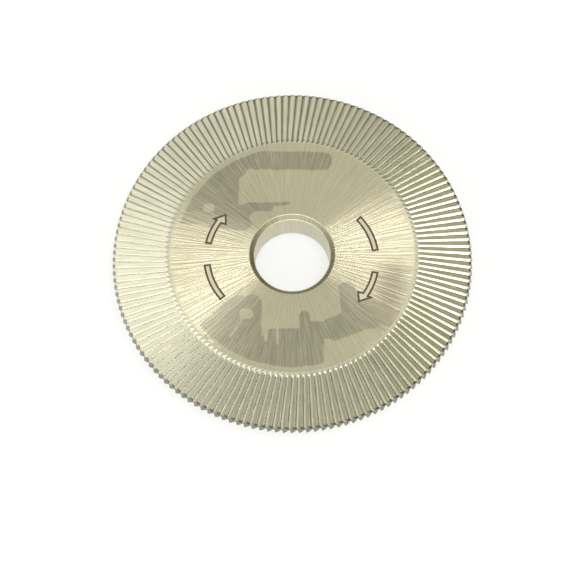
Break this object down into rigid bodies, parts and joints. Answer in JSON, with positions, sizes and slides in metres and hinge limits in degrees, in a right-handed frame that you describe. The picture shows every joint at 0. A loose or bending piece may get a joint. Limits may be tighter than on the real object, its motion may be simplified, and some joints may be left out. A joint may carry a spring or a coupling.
{
  "type": "key cutter wheel",
  "caption": "Round steel cutting wheel for duplicating keys, with a ring of fine side teeth on its front face, teeth down its rim and its slanting rear flank, and a chamfered arbor bore.",
  "frame": {"origin": "on the bore axis, in the flat rear face that the wheel lies on", "axes": "+Z along the bore axis, out of the front face with its ring of side teeth; +X and +Y lie in the wheel's plane, with no special angle"},
  "size_m": [0.06, 0.06, 0.0073],
  "materials": {
    "cutter_steel": "high-speed steel, ground all over, with fine radial grinding lines and a thin uneven film of oil"
  },
  "bodies": {
    "root": {"cutter_wheel": "cutter_steel"}
  },
  "joints": []
}
